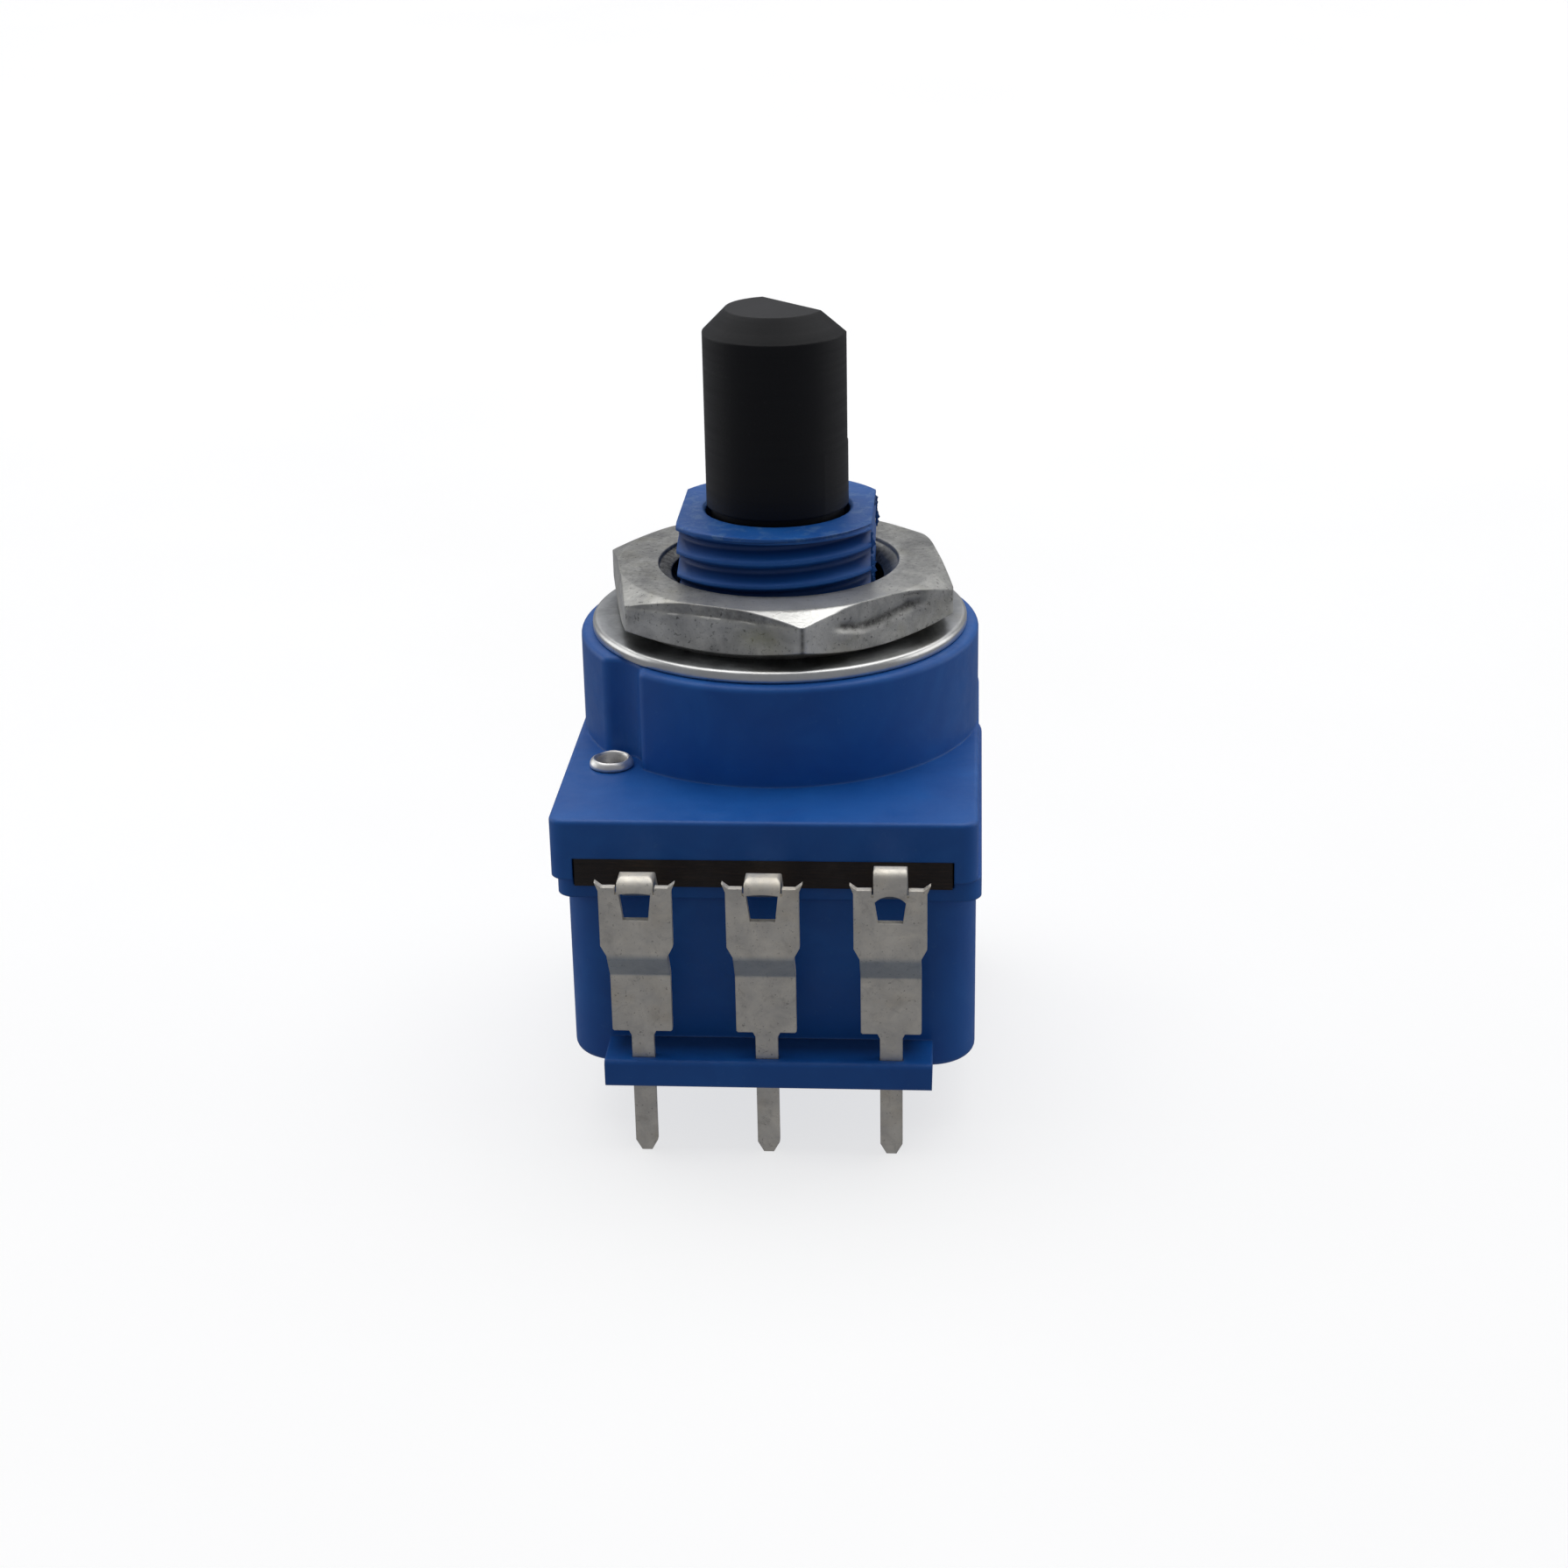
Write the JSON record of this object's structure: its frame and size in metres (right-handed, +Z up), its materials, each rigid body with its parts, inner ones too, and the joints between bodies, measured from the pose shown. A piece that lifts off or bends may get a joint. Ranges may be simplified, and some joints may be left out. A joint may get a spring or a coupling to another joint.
{
  "type": "rotary potentiometer with push switch",
  "caption": "Board-mount rotary potentiometer with a D-flat plastic shaft, threaded bushing with nut and washer, bent sheet terminals and a push-push switch box below.",
  "frame": {"origin": "on the shaft's axis, at the collar's top face that bears on the back of a panel", "axes": "+Z up the shaft to the knob end, -Y towards the side with the three track terminals, +X to the right seen from that side"},
  "size_m": [0.0173, 0.0229, 0.0319],
  "materials": {
    "upper_housing": "satin moulded blue",
    "lower_housing": "satin moulded blue",
    "shaft": "satin moulded black",
    "rotor": "natural plastic",
    "wiper": "phosphor bronze",
    "hex_nut": "zinc plated, mottled",
    "washer": "zinc plated",
    "track_board": "dark brown phenolic laminate",
    "carbon_track": "carbon ink",
    "collector_ring": "silver ink",
    "end_leads": "silver ink",
    "terminal_rivets": "tin plated",
    "slider": "natural plastic",
    "moving_contact": "phosphor bronze",
    "moving_contact_pads": "silver alloy",
    "return_spring": "spring wire",
    "latch_pin": "spring wire",
    "terminal_left": "tin plated",
    "terminal_centre": "tin plated",
    "terminal_right": "tin plated",
    "case_rivet_front": "tin plated",
    "case_rivet_rear": "tin plated",
    "switch_terminal_left": "tin plated",
    "fixed_contact_left": "silver alloy",
    "switch_terminal_right": "tin plated",
    "fixed_contact_right": "silver alloy"
  },
  "bodies": {
    "housing": {"upper_housing": "upper_housing", "lower_housing": "lower_housing", "hex_nut": "hex_nut", "washer": "washer", "track_board": "track_board", "carbon_track": "carbon_track", "collector_ring": "collector_ring", "end_leads": "end_leads", "terminal_rivets": "terminal_rivets", "return_spring": "return_spring", "terminal_left": "terminal_left", "terminal_centre": "terminal_centre", "terminal_right": "terminal_right", "case_rivet_front": "case_rivet_front", "case_rivet_rear": "case_rivet_rear", "switch_terminal_left": "switch_terminal_left", "fixed_contact_left": "fixed_contact_left", "switch_terminal_right": "switch_terminal_right", "fixed_contact_right": "fixed_contact_right"},
    "rotor": {"rotor": "rotor", "wiper": "wiper"},
    "shaft": {"shaft": "shaft"},
    "slider": {"slider": "slider", "moving_contact": "moving_contact", "moving_contact_pads": "moving_contact_pads"},
    "latch": {"latch_pin": "latch_pin"}
  },
  "joints": [
    {"name": "rotor_turn", "type": "hinge", "parent": "housing", "child": "rotor", "pos_m": [0, 0, 0], "axis": [0, 0, 1], "range_deg": [-105, 195]},
    {"name": "shaft_push", "type": "slide", "parent": "rotor", "child": "shaft", "axis": [0, 0, -1], "range_m": [0, 0.0019], "stiffness_N_per_m": 800, "springref_m": -0.001},
    {"name": "slider_travel", "type": "slide", "parent": "housing", "child": "slider", "axis": [0, 0, -1], "range_m": [0, 0.0019], "deforming": ["return_spring"]},
    {"name": "latch_swing", "type": "hinge", "parent": "housing", "child": "latch", "pos_m": [0.00515, 0.00055, -0.01358], "axis": [1, 0, 0], "range_deg": [0, 14.5]}
  ],
  "couplings": [
    {"joint": "slider_travel", "follows": "shaft_push", "ratio": 1},
    {"joint": "latch_swing", "follows": "shaft_push", "rad_per_m": 132.99}
  ]
}
